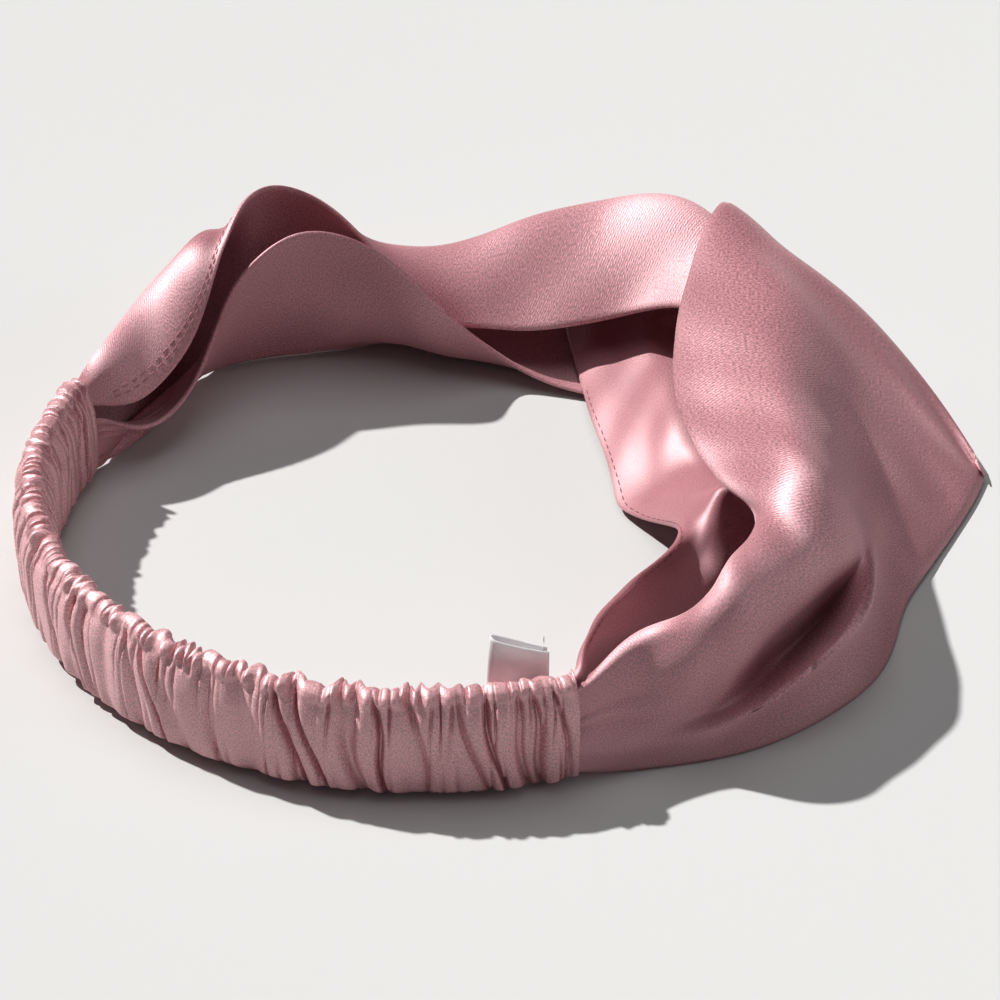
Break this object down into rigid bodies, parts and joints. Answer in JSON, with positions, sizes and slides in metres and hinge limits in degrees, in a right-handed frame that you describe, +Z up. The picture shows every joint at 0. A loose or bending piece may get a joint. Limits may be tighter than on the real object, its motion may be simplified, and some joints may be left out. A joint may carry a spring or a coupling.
{
  "type": "knotted headband",
  "caption": "Wide satin headband tied in a turban knot, with a narrow ruched casing over elastic at the back and a blank fabric label.",
  "frame": {"origin": "on the floor, under the middle of the whole ring's outline", "axes": "+Z up, across the headband's width; +X along the ring's longest extent towards the knot's side; +Y away from the casing"},
  "size_m": [0.199, 0.1627, 0.044],
  "materials": {
    "satin": "dusty rose satin",
    "elastic": "woven elastic",
    "label_satin": "white satin tape",
    "thread": "polyester thread"
  },
  "bodies": {
    "front_bands": {"band_left": "satin", "band_right": "satin", "band_left_seam": "thread", "band_right_seam": "thread", "end_stitches_left": "thread", "end_stitches_right": "thread"},
    "elastic_back": {"elastic_casing": "satin", "elastic_strip": "elastic", "casing_seam": "thread"},
    "label": {"care_label": "label_satin", "label_stitches": "thread"}
  },
  "joints": [
    {"name": "elastic_stretch", "type": "slide", "parent": "front_bands", "child": "elastic_back", "axis": [-0.6649, -0.7469, 0], "range_m": [0, 0.03], "stiffness_N_per_m": 80, "deforming": ["elastic_casing", "elastic_strip", "casing_seam"]},
    {"name": "label_fold", "type": "hinge", "parent": "front_bands", "child": "label", "pos_m": [0.00917, -0.0692, 0.0255], "axis": [0, 0, -1], "range_deg": [0, 50]}
  ]
}
